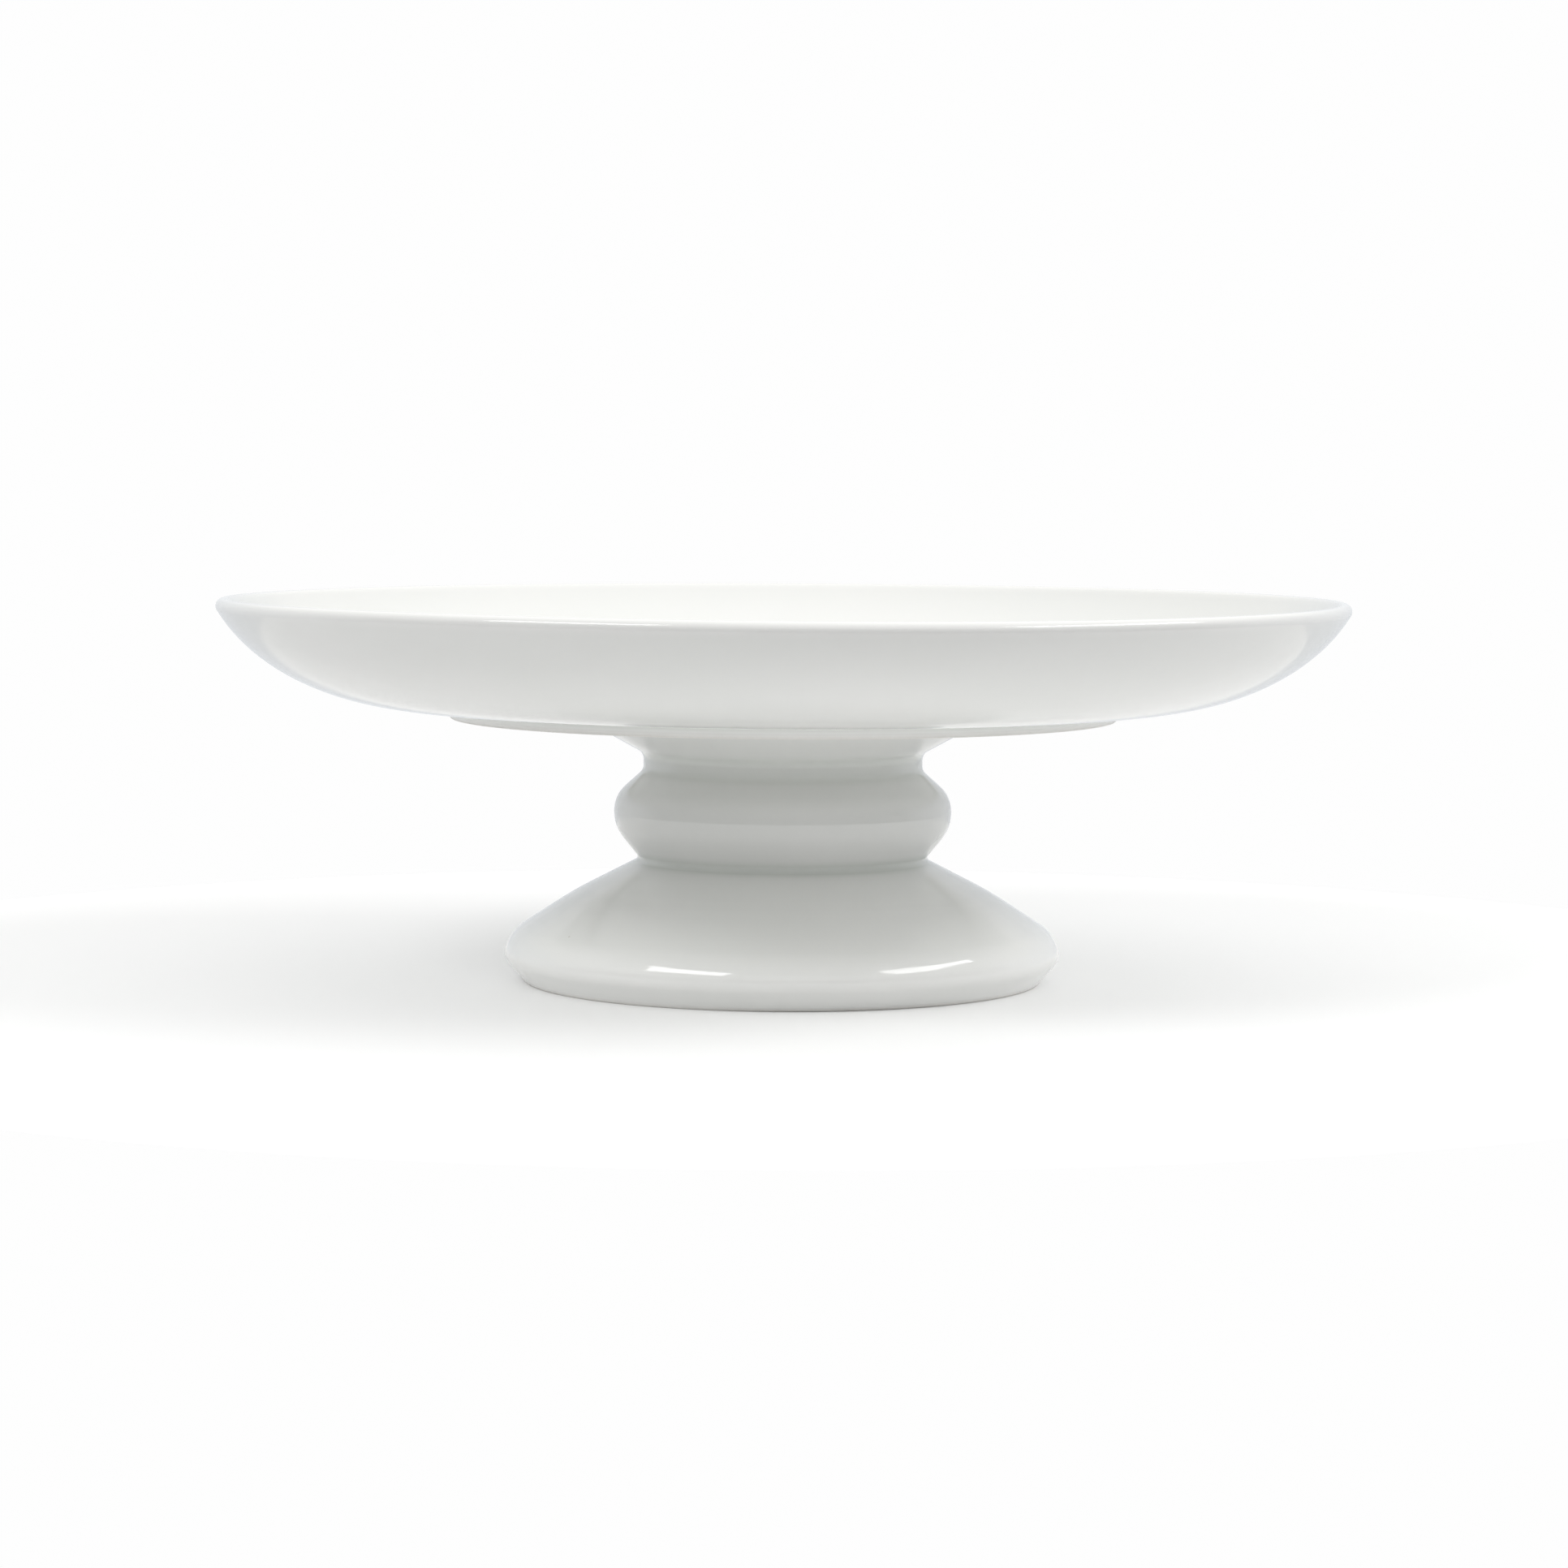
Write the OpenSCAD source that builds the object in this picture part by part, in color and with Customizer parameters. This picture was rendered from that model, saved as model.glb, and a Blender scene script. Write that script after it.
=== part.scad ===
// Footed cake stand: a glazed porcelain coupe plate on a hollow porcelain pedestal.
// One screw, turned by hand from inside the pedestal, clamps the two together.
// Millimetres. Z is the axis of the stand, and the table is at z = 0.

/* [Plate] */
// Diameter over the lip
plate_d = 300; // [260:1:360]
// Height of the lip above the underside of the plate
bowl_h = 28.7; // [20:0.1:40]
// Thickness of the lip, which is rounded over
lip_t = 4; // [2.5:0.1:6]
// Slope of the wall where it meets the lip, in degrees
lip_slope = 59; // [50:1:75]
// Diameter of the flat middle, where the curved wall starts
flat_d = 193; // [180:1:230]
// Thickness of the floor
floor_t = 6; // [4:0.1:9]

/* [Foot ring of the plate] */
// Outer diameter of the ring's lower edge
ring_d = 177; // [120:1:185]
// Depth of the ring below the underside
ring_h = 3.2; // [1.5:0.1:6]
// Width of the ring's lower edge
ring_w = 2.6; // [1.5:0.1:5]
// How much further each side of the ring stands out at its root
ring_draft = 1.4; // [0.5:0.1:3]

/* [Boss and insert] */
// Radius of the boss in the middle of the underside
boss_r = 17; // [14:0.5:22]
// Length of the boss below the underside
boss_h = 13; // [11:0.5:18]
// Thickness of the cement round the insert and above it
cement_t = 1.5; // [0.8:0.1:3]
// Outer radius of the threaded insert
insert_r = 7; // [6.5:0.1:9]
// Number of grooves that key the insert into the cement
grooves = 2; // [1:1:3]
// Width of each groove at its mouth, twice that of its floor
groove_w = 2.3; // [1:0.1:2.5]
// Depth of each groove
groove_depth = 0.8; // [0.3:0.1:1.2]

/* [Pedestal] */
// Height of the pedestal
pedestal_h = 71.8; // [66:0.1:90]
// Radius of the foot where it meets the table
foot_r = 68.6; // [62:0.1:80]
// Width of the flat ring that stands on the table
foot_land = 6; // [4:0.5:9]
// Radius of the foot's shoulder
shoulder_r = 74.7; // [70:0.1:90]
// Height of the shoulder
shoulder_z = 7; // [5:0.5:9]
// Height at which the foot starts to slope in
slope_z = 13; // [11:0.5:15]
// How far the foot has come in at that height
slope_in = 2.7; // [1:0.1:5]
// How much the middle of the slope stands out past a straight line
slope_bulge = 1; // [0:0.1:3]
// Radius of the crease between foot and knop
crease_r = 38.1; // [34:0.1:44]
// Height of the crease
crease_z = 32.6; // [28:0.1:36]
// Radius of the knop
knop_r = 45; // [41:0.5:52]
// Height of the middle of the knop
knop_z = 45.2; // [42:0.1:48]
// Height of the knop's upright stretch before its corners are rounded
knop_band = 8; // [4:0.5:12]
// Radius of the neck above the knop
neck_r = 37.2; // [34:0.1:41]
// Height of the middle of the neck
neck_z = 58.5; // [56:0.1:61]
// Height of the neck's upright stretch before its corners are rounded
neck_band = 4.6; // [2:0.1:7]
// Radius of the land that carries the plate
land_r = 53; // [46:0.5:62]
// Height of the edge round the land
land_edge = 2.3; // [1.5:0.1:4]
// Wall of the pedestal, the same everywhere
wall = 6; // [4:0.5:7]
// Gap between the boss and the well it hangs in, at the side and below
well_gap = 1; // [0.5:0.1:2]
// Radial clearance of the screw in the web under the well
hole_gap = 0.6; // [0.3:0.1:1]

/* [Seat gasket] */
// Thickness of the gasket between pedestal and plate
gasket_t = 1.5; // [0.8:0.1:3]
// Width of the gasket
gasket_w = 12; // [6:0.5:20]
// Distance of the gasket from the edge of the land
gasket_margin = 2; // [1:0.5:5]

/* [Screw and washers] */
// Radius of the screw
screw_r = 4; // [3:0.5:5]
// Length of thread held in the insert
engagement = 10; // [6:0.5:11]
// Length of the screw below its head
screw_l = 30; // [30:1:36]
// Width of the hexagonal head across its flats
head_af = 13; // [10:0.5:15]
// Height of the head
head_h = 5.3; // [4:0.1:7]
// Radial clearance of the screw in the insert and the two steel washers
thread_gap = 0.08; // [0.02:0.01:0.1]
// Radius of the soft washer under the web
cushion_r = 14; // [11:0.5:16]
// Thickness of the soft washer
cushion_t = 2; // [1:0.1:3]
// Radial clearance of the screw in the soft washer
cushion_gap = 0.3; // [0.1:0.1:0.6]
// Radius of the flat steel washer
load_r = 12; // [9:0.5:14]
// Thickness of the flat steel washer
load_t = 1.5; // [1:0.1:2.5]
// Radius of the split spring washer
spring_r = 7.4; // [6.5:0.1:8.5]
// Thickness of the split spring washer, pressed flat
spring_t = 2; // [1.5:0.1:2.5]
// Width of the split
spring_split = 0.8; // [0.5:0.1:1.5]

/* [Knob] */
// Radius over the knob's lobes
knob_r = 18; // [15:0.5:20]
// Height of the grip
grip_h = 13; // [9:0.5:16]
// Radius of the hub that presses on the spring washer
hub_r = 9.5; // [8.5:0.5:11]
// Height of the hub above the grip
hub_h = 3; // [1.5:0.5:5]
// Number of finger hollows round the grip
lobes = 6; // [5:1:8]
// Radius of each finger hollow
scallop_r = 6; // [4:0.5:7]
// Depth of each finger hollow
scallop_depth = 2.5; // [1:0.1:4]

/* [Edge roundings] */
// Root of the plate's foot ring
ring_root = 0.8; // [0.3:0.1:1.2]
// Lower edges of the foot ring
ring_round = 0.7; // [0.3:0.1:1.2]
// Root of the boss
boss_root = 2; // [0.5:0.5:3]
// Lower edge of the boss
boss_round = 1; // [0.3:0.1:2]
// Bare edges of the pedestal, at the table
foot_round = 0.8; // [0.3:0.1:2]
// Shoulder of the foot
shoulder_round = 4; // [1:0.5:8]
// Top of the shoulder, where the slope begins
slope_round = 16; // [4:1:24]
// Middle of the slope
bulge_round = 90; // [40:5:150]
// Crease between foot and knop
crease_round = 1.2; // [0.6:0.1:5]
// Upper and lower corner of the knop
knop_round = 12; // [8:1:16]
// Upper and lower corner of the neck
neck_round = 3; // [1:0.5:5]
// Lower edge of the rim round the land
rim_round = 1.5; // [0.5:0.1:2]
// Upper edges of the land
land_round = 1; // [0.3:0.1:1.5]
// Inner corner at the floor of the well
well_round = 2; // [0.5:0.5:3]
// Edges of the screw's hole in the web
hole_round = 0.5; // [0.2:0.1:1]
// Outer corner of the web
web_round = 3; // [1:0.5:5]
// Inner corners of the hollow under the land
deck_round = 2; // [1:0.5:3]
// Corner inside the knop, where the tube of the neck begins
tube_round = 6; // [2:1:8]
// Edges of the gasket and the soft washer
soft_round = 0.3; // [0.1:0.1:0.4]
// Edges of the flat steel washer
load_round = 0.15; // [0.05:0.05:0.3]
// Edges of the spring washer
spring_round = 0.1; // [0.05:0.05:0.3]
// Both ends of the insert's thread
insert_round = 0.4; // [0.2:0.1:0.8]
// End of the screw
screw_round = 1; // [0.3:0.1:1.5]
// Upper and lower edge of the knob's grip
grip_round = 2; // [0.5:0.5:3]
// Root of the knob's hub
hub_root = 1.5; // [0.5:0.5:2.5]
// Upper edge of the knob's hub
hub_round = 0.5; // [0.2:0.1:1]

/* [Hidden] */
$fn = 96;
eps = 0.5;                              // overshoot of a cutting tool
arc_step = 15;                          // degrees between the points of a rounded corner
edge_share = 0.48;                      // longest part of an edge that one rounding may take
least_round = 1;                        // smallest rounding inside the wall
wall_steps = 16;                        // steps along the plate's curved wall
lip_steps = 6;                          // steps round the lip
split_tilt = 25;                        // slope of the spring washer's split, in degrees

under_z = pedestal_h + gasket_t;        // underside of the plate
floor_z = under_z + floor_t;            // where the cake stands
lip_z = under_z + bowl_h;               // top of the lip
boss_z = under_z - boss_h;              // lower face of the boss and the insert
insert_top = under_z - cement_t;        // upper face of the insert
well_r = boss_r + well_gap;
well_z = boss_z - well_gap;             // floor of the well
web_z = well_z - wall;                  // lower face of the web that the screw pulls on
cushion_z = web_z - cushion_t;
load_z = cushion_z - load_t;
spring_z = load_z - spring_t;
knob_top = spring_z;
knob_z = knob_top - hub_h - grip_h;
screw_top = boss_z + engagement;
head_z = screw_top - screw_l;           // face of the head that bears on the knob
clear_r = screw_r + thread_gap;
hole_r = screw_r + hole_gap;

// The plate's outer wall is part of an ellipse. It leaves the flat underside level and
// meets the round lip at lip_slope, and these three follow from that.
lip_r = lip_t / 2;
rise = bowl_h - lip_r - lip_r * cos(lip_slope);
run = plate_d / 2 - lip_r + lip_r * sin(lip_slope) - flat_d / 2;
wall_turn = acos(1 / (run / rise * tan(lip_slope) - 1));
wall_a = run / sin(wall_turn);
wall_b = rise / (1 - cos(wall_turn));

// Plain geometry: points are [r, z], and corners are [r, z, rounding radius].
function at(p) = [p[0], p[1]];
function toward(a, b) = (b - a) / norm(b - a);
function left(v) = [-v[1], v[0]];
function wrapped(a) = a > 180 ? a - 360 : a < -180 ? a + 360 : a;
function angle(v) = atan2(v[1], v[0]);
function on_circle(r, a) = r * [cos(a), sin(a)];

// Arc that rounds corner p between its neighbours a and b
function corner(a, p, b, radius) =
    let(u = toward(p, a))
    let(v = toward(p, b))
    let(half = acos(u * v) / 2)
    let(room = edge_share * min(norm(a - p), norm(b - p)))
    let(reach = min(radius / tan(half), room))
    let(r = reach * tan(half))
    let(centre = p + (u + v) / norm(u + v) * r / sin(half))
    let(first = angle(p + u * reach - centre))
    let(turn = wrapped(angle(p + v * reach - centre) - first))
    let(steps = max(2, ceil(abs(turn) / arc_step)))
    [for (i = [0 : steps]) centre + on_circle(r, first + turn * i / steps)];

// Outline through a list of corners, closed from the last to the first
function rounded(c) =
    let(n = len(c))
    [for (i = [0 : n - 1])
        each c[i][2] > 0
            ? corner(at(c[(i + n - 1) % n]), at(c[i]), at(c[(i + 1) % n]), c[i][2])
            : [at(c[i])]];

// The inner corners of an open chain, moved to its left by d: outside corners get
// tighter and inside corners get wider, so that the wall keeps its thickness.
function inset(c, d) =
    [for (i = [1 : len(c) - 2])
        let(e = toward(at(c[i - 1]), at(c[i])))
        let(f = toward(at(c[i]), at(c[i + 1])))
        let(shift = d * (left(e) + left(f)) / (1 + e * f))
        let(radius = cross(e, f) > 0 ? max(c[i][2] - d, least_round) : c[i][2] + d)
        [c[i][0] + shift[0], c[i][1] + shift[1], radius]];

// Points as corners with no rounding
function sharp(points) = [for (p = points) [p[0], p[1], 0]];

function reversed(c) = [for (i = [len(c) - 1 : -1 : 0]) c[i]];

// Point on the plate's wall, depth d inside its outer face, at turn t of the ellipse
function wall_point(t, d) =
    let(outward = toward([0, 0], [wall_b * sin(t), -wall_a * cos(t)]))
    [flat_d / 2 + wall_a * sin(t), under_z + wall_b * (1 - cos(t))] - d * outward;

// Solid of revolution from a list of corners
module turned(corners) {
    rotate_extrude() polygon(rounded(corners));
}

// Ring of rectangular section with its edges eased
module ring(inner, outer, low, high, ease) {
    turned([[inner, low, ease], [outer, low, ease], [outer, high, ease], [inner, high, ease]]);
}

// Outline of the plate, from the middle of the floor over the lip and back underneath
inner_wall = [for (i = [0 : wall_steps])
    wall_point(wall_turn * i / wall_steps, floor_t + (lip_t - floor_t) * i / wall_steps)];
lip = [for (i = [1 : lip_steps - 1])
    wall_point(wall_turn, lip_r) + on_circle(lip_r, lip_slope + 90 - 180 * i / lip_steps)];
outer_wall = [for (i = [wall_steps : -1 : 0]) wall_point(wall_turn * i / wall_steps, 0)];
ring_r = ring_d / 2;
socket_r = insert_r + cement_t;
underside = [
    [ring_r + ring_draft, under_z, ring_root],
    [ring_r, under_z - ring_h, ring_round],
    [ring_r - ring_w, under_z - ring_h, ring_round],
    [ring_r - ring_w - ring_draft, under_z, ring_root],
    [boss_r, under_z, boss_root],
    [boss_r, boss_z, boss_round],
    [socket_r, boss_z, 0],
    [socket_r, under_z, 0],
    [0, under_z, 0]];

module plate() {
    color("whitesmoke")
        turned(concat([[0, floor_z, 0]], sharp(inner_wall), sharp(lip), sharp(outer_wall), underside));
}

// Outer corners of the pedestal from the table up to the neck. Each inner corner up to
// the knop is the outer one moved in by the wall. Above it the inside is a plain tube.
slope_r = shoulder_r - slope_in;
bulge_dir = left(toward([slope_r, slope_z], [crease_r, crease_z]));
bulge = ([slope_r, slope_z] + [crease_r, crease_z]) / 2 - slope_bulge * bulge_dir;
edge_z = pedestal_h - land_edge;
knop_shoulder = [knop_r, knop_z + knop_band / 2, knop_round];
neck_foot = [neck_r, neck_z - neck_band / 2, neck_round];
neck_head = [neck_r, neck_z + neck_band / 2, neck_round];
skin = [
    [foot_r, 0, foot_round],
    [shoulder_r, shoulder_z, shoulder_round],
    [slope_r, slope_z, slope_round],
    [bulge[0], bulge[1], bulge_round],
    [crease_r, crease_z, crease_round],
    [knop_r, knop_z - knop_band / 2, knop_round],
    knop_shoulder,
    neck_foot];
top = [
    neck_head,
    [land_r, edge_z, rim_round],
    [land_r, pedestal_h, land_round],
    [well_r, pedestal_h, land_round],
    [well_r, well_z, well_round],
    [hole_r, well_z, hole_round],
    [hole_r, web_z, hole_round],
    [well_r + wall, web_z, web_round],
    [well_r + wall, pedestal_h - wall, deck_round]];
inside = inset(skin, wall);
tube_r = neck_r - wall;
knop_inside = at(inside[len(inside) - 1]);
knop_fall = toward(at(knop_shoulder), at(neck_foot));
tube_z = knop_inside[1] + knop_fall[1] * (tube_r - knop_inside[0]) / knop_fall[0];
tube = [
    [tube_r, pedestal_h - wall, deck_round],
    [tube_r, tube_z, tube_round]];
foot_inside = [foot_r - foot_land, 0, foot_round];

module pedestal() {
    color("whitesmoke")
        turned(concat(skin, top, tube, reversed(inside), [foot_inside]));
}

module seat_gasket() {
    outer = land_r - gasket_margin;
    color("gainsboro")
        ring(outer - gasket_w, outer, pedestal_h, under_z, soft_round);
}

// The insert's outside, with evenly spaced grooves that lock it into the cement
insert_l = insert_top - boss_z;
function groove(z) = [
    [insert_r, z - groove_w / 2],
    [insert_r - groove_depth, z - groove_w / 4],
    [insert_r - groove_depth, z + groove_w / 4],
    [insert_r, z + groove_w / 2]];
insert_side = sharp([
    [insert_r, boss_z],
    for (i = [1 : grooves]) each groove(boss_z + insert_l * i / (grooves + 1)),
    [insert_r, insert_top]]);
insert_bore = [
    [clear_r, insert_top, insert_round],
    [clear_r, boss_z, insert_round]];
cement_outside = sharp([
    [0, insert_top],
    [0, under_z],
    [socket_r, under_z],
    [socket_r, boss_z]]);

module threaded_insert() {
    color("goldenrod")
        turned(concat(insert_side, insert_bore));
}

module insert_cement() {
    color("lightgray")
        turned(concat(insert_side, cement_outside));
}

module cushion_washer() {
    color("dimgray")
        ring(screw_r + cushion_gap, cushion_r, cushion_z, web_z, soft_round);
}

module load_washer() {
    color("silver")
        ring(clear_r, load_r, load_z, cushion_z, load_round);
}

module spring_washer() {
    color("silver")
        difference() {
            ring(clear_r, spring_r, spring_z, load_z, spring_round);
            translate([spring_r, 0, spring_z + spring_t / 2])
                rotate([split_tilt, 0, 0])
                    cube([2 * spring_r, spring_split, 2 * spring_t], center = true);
        }
}

// Six-sided prism, by the width across its flats
module hexagon(af, low, high) {
    translate([0, 0, low])
        cylinder(r = af / sqrt(3), h = high - low, $fn = 6);
}

module clamp_screw() {
    color("silver")
        union() {
            hexagon(head_af, head_z - head_h, head_z);
            turned([
                [0, head_z - eps, 0],
                [screw_r, head_z - eps, 0],
                [screw_r, screw_top, screw_round],
                [0, screw_top, 0]]);
        }
}

module screw_knob() {
    color("ghostwhite")
        difference() {
            turned([
                [0, knob_z, 0],
                [knob_r, knob_z, grip_round],
                [knob_r, knob_top - hub_h, grip_round],
                [hub_r, knob_top - hub_h, hub_root],
                [hub_r, knob_top, hub_round],
                [0, knob_top, 0]]);
            translate([0, 0, knob_z - eps])
                cylinder(r = clear_r, h = knob_top - knob_z + 2 * eps);
            hexagon(head_af, knob_z - eps, head_z);
            for (i = [0 : lobes - 1])
                rotate([0, 0, 360 / lobes * i])
                    translate([knob_r + scallop_r - scallop_depth, 0, knob_z - eps])
                        cylinder(r = scallop_r, h = grip_h + 2 * eps);
        }
}

plate();
pedestal();
seat_gasket();
threaded_insert();
insert_cement();
cushion_washer();
load_washer();
spring_washer();
clamp_screw();
screw_knob();
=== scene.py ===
import math

import bpy
from mathutils import Matrix, Vector


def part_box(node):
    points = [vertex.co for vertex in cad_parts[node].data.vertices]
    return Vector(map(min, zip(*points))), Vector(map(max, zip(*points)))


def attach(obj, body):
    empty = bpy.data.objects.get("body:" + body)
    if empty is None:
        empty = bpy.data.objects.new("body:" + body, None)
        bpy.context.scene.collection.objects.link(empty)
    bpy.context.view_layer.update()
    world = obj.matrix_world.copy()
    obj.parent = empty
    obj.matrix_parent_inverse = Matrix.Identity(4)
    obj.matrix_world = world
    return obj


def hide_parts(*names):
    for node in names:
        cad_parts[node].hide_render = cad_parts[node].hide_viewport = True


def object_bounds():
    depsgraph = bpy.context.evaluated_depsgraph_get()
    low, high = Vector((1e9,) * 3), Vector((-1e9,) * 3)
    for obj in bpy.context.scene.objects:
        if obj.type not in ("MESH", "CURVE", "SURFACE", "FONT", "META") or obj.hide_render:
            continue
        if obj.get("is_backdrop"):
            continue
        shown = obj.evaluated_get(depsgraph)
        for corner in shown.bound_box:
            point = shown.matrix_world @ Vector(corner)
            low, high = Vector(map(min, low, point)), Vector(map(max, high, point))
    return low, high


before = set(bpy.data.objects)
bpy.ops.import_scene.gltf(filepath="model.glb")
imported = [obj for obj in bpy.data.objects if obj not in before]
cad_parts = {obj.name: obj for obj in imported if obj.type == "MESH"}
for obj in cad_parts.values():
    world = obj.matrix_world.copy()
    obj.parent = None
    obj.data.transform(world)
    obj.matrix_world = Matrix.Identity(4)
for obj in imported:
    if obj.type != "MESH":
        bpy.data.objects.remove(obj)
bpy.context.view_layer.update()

MM = 0.001
TURN = 2 * math.pi


# ---------------------------------------------------------------- small sums

def clamp(value, low, high):
    return max(low, min(high, value))


def between(value, low, high):
    """0 up to low, 1 from high, and smooth between them."""
    t = clamp((value - low) / (high - low), 0.0, 1.0)
    return t * t * (3 - 2 * t)


def smooth_min(a, b, width):
    h = max(width - abs(a - b), 0.0) / width
    return min(a, b) - h * h * width / 4


def unit(a, b):
    """The direction from a to b as (r, z), and how far it is."""
    length = math.hypot(b[0] - a[0], b[1] - a[1])
    return (b[0] - a[0]) / length, (b[1] - a[1]) / length, length


def turning(e, f):
    """The angle from direction e to direction f."""
    return math.atan2(e[0] * f[1] - e[1] * f[0], e[0] * f[0] + e[1] * f[1])


def hexagon(across, angle):
    """Distance from the axis to the side of a regular hexagon, corners at 0 and every 60 degrees."""
    sixth = TURN / 6
    return across / 2 / math.cos((angle % sixth) - sixth / 2)


# ---------------------------------------------------------------- outlines

def half_section(node):
    """The (r, z) points of a CAD node where it meets the half-plane y = 0, x > 0, in order.
    A flat face may have no edge there. It leaves two loose ends at one height, or one if it
    reaches the axis, so loose ends are joined in pairs from the outermost inwards."""
    CUT, DIGITS, HEIGHT_DIGITS = 2e-6, 6, 5
    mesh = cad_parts[node].data
    spots, links, loose = {}, {}, {}

    def join(a, b):
        links.setdefault(a, set()).add(b)
        links.setdefault(b, set()).add(a)

    for v in mesh.vertices:
        if abs(v.co.y) < CUT and v.co.x > -CUT:
            spots[v.index] = (round(max(v.co.x, 0.0), DIGITS), round(v.co.z, DIGITS))
    for e in mesh.edges:
        a, b = (spots.get(i) for i in e.vertices)
        if a and b and a != b and max(a[0], b[0]) > CUT:
            join(a, b)
    for p, others in links.items():
        if len(others) == 1 and p[0] > CUT:
            loose.setdefault(round(p[1], HEIGHT_DIGITS), []).append(p)
    for ends in loose.values():
        ends.sort(reverse=True)
        if len(ends) % 2:
            ends.append((0.0, ends[-1][1]))
        for a, b in zip(ends[::2], ends[1::2]):
            join(a, b)
    on_axis = [p for p in links if p[0] < CUT]
    here = max(on_axis or links, key=lambda p: (p[1], p[0]))
    path, before = [here], None
    while True:
        onward = [p for p in links[here] if p != before and (p not in path or p == path[0])]
        if not onward or (onward[0] == path[0] and len(path) > 2):
            break
        before, here = here, max(onward, key=lambda p: (p != path[0], p[0]))
        path.append(here)
    if len(path) != len(links):
        raise ValueError(f"{node}: the outline has {len(links)} points, and {len(path)} are in order")
    return path


def extent(outline):
    """An outline's least and greatest radius, and its least and greatest height."""
    radii, heights = zip(*outline)
    return min(radii), max(radii), min(heights), max(heights)


def refined(path, closed, spacing):
    """The same outline with its arcs made smooth: a cubic from each point to the next, and
    corners sharper than KEEP_SHARP left as they are. A straight stretch stays straight, and no
    step turns by more than about MOST_TURN."""
    KEEP_SHARP, MUCH_LONGER = math.radians(40), 1.9
    MOST_TURN, SLACK = math.radians(7.5), 0.01
    n = len(path)
    edges = [unit(path[i], path[(i + 1) % n]) for i in range(n if closed else n - 1)]
    leave, arrive = [], []
    for i in range(n):
        into = edges[i - 1] if closed or i > 0 else edges[0]
        out = edges[i] if closed or i < n - 1 else edges[-1]
        if abs(turning(into, out)) > KEEP_SHARP:
            arrive.append(into[:2])
            leave.append(out[:2])
            continue
        if into[2] > MUCH_LONGER * out[2]:
            t = into[:2]
        elif out[2] > MUCH_LONGER * into[2]:
            t = out[:2]
        else:
            x = into[0] * out[2] + out[0] * into[2]
            z = into[1] * out[2] + out[1] * into[2]
            t = (x / math.hypot(x, z), z / math.hypot(x, z))
        arrive.append(t)
        leave.append(t)
    fine = []
    for i, (_, _, length) in enumerate(edges):
        a, b = path[i], path[(i + 1) % n]
        ta, tb = leave[i], arrive[(i + 1) % n]
        turn = math.acos(clamp(ta[0] * tb[0] + ta[1] * tb[1], -1.0, 1.0))
        steps = max(1, math.ceil(length / spacing), math.ceil(turn / MOST_TURN - SLACK))
        for k in range(steps):
            s = k / steps
            h1, h2 = (1 + 2 * s) * (1 - s) ** 2, s * (1 - s) ** 2
            h3, h4 = s * s * (3 - 2 * s), s * s * (s - 1)
            fine.append(tuple(
                h1 * a[j] + h2 * length * ta[j] + h3 * b[j] + h4 * length * tb[j] for j in (0, 1)
            ))
    if not closed:
        fine.append(path[-1])
    return fine


def hollow_amount(path, closed, reach):
    """How concave the outline is at each point, from -1 (edge) to 1 (crease), over a short reach.
    It is used for painted shade in a crease and a painted highlight over an edge, along with the
    glaze's own tint where it gathers and runs thinner."""
    FAR = 3 * reach
    n = len(path)
    span = [0.0]
    for i in range(1, n):
        span.append(span[-1] + unit(path[i - 1], path[i])[2] if path[i - 1] != path[i] else span[-1])
    bends = [0.0] * n
    for i in range(n):
        a, p, b = path[i - 1], path[i], path[(i + 1) % n]
        if (closed or 0 < i < n - 1) and a != p != b:
            bends[i] = turning(unit(a, p), unit(p, b))
    amounts = []
    for i in range(n):
        total = sum(
            bends[j] * math.exp(-((span[j] - span[i]) / reach) ** 2)
            for j in range(n) if abs(span[j] - span[i]) < FAR
        )
        amounts.append(clamp(total, -1.0, 1.0))
    area = sum(path[i][0] * path[(i + 1) % n][1] - path[(i + 1) % n][0] * path[i][1] for i in range(n))
    return [-a if area > 0 else a for a in amounts]


# ---------------------------------------------------------------- meshes

def new_object(name, verts, faces, sharp=35.0):
    """A smooth-shaded mesh object, with edges sharper than this many degrees kept crisp."""
    mesh = bpy.data.meshes.new(name)
    mesh.from_pydata(verts, [], faces)
    mesh.validate()
    mesh.shade_smooth()
    mesh.set_sharp_from_angle(angle=math.radians(sharp))
    obj = bpy.data.objects.new(name, mesh)
    bpy.context.scene.collection.objects.link(obj)
    return obj


def outward(mesh):
    """Turns the mesh's faces so that its volume is positive."""
    volume = 0.0
    for p in mesh.polygons:
        a = mesh.vertices[p.vertices[0]].co
        for i in range(1, len(p.vertices) - 1):
            b, c = (mesh.vertices[p.vertices[j]].co for j in (i, i + 1))
            volume += a.dot(b.cross(c))
    if volume < 0:
        mesh.flip_normals()


def skin(name, verts, rows, closed, sharp):
    """Joins rows of vertices, all equally long, into a surface that faces outwards. A row on the
    axis is one vertex repeated. closed joins the last row to the first."""
    faces = []
    for low, high in zip(rows, rows[1:] + (rows[:1] if closed else [])):
        for k in range(len(low)):
            m = (k + 1) % len(low)
            face = list(dict.fromkeys((low[k], low[m], high[m], high[k])))
            if len(face) > 2:
                faces.append(face)
    obj = new_object(name, verts, faces, sharp)
    outward(obj.data)
    return obj


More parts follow.
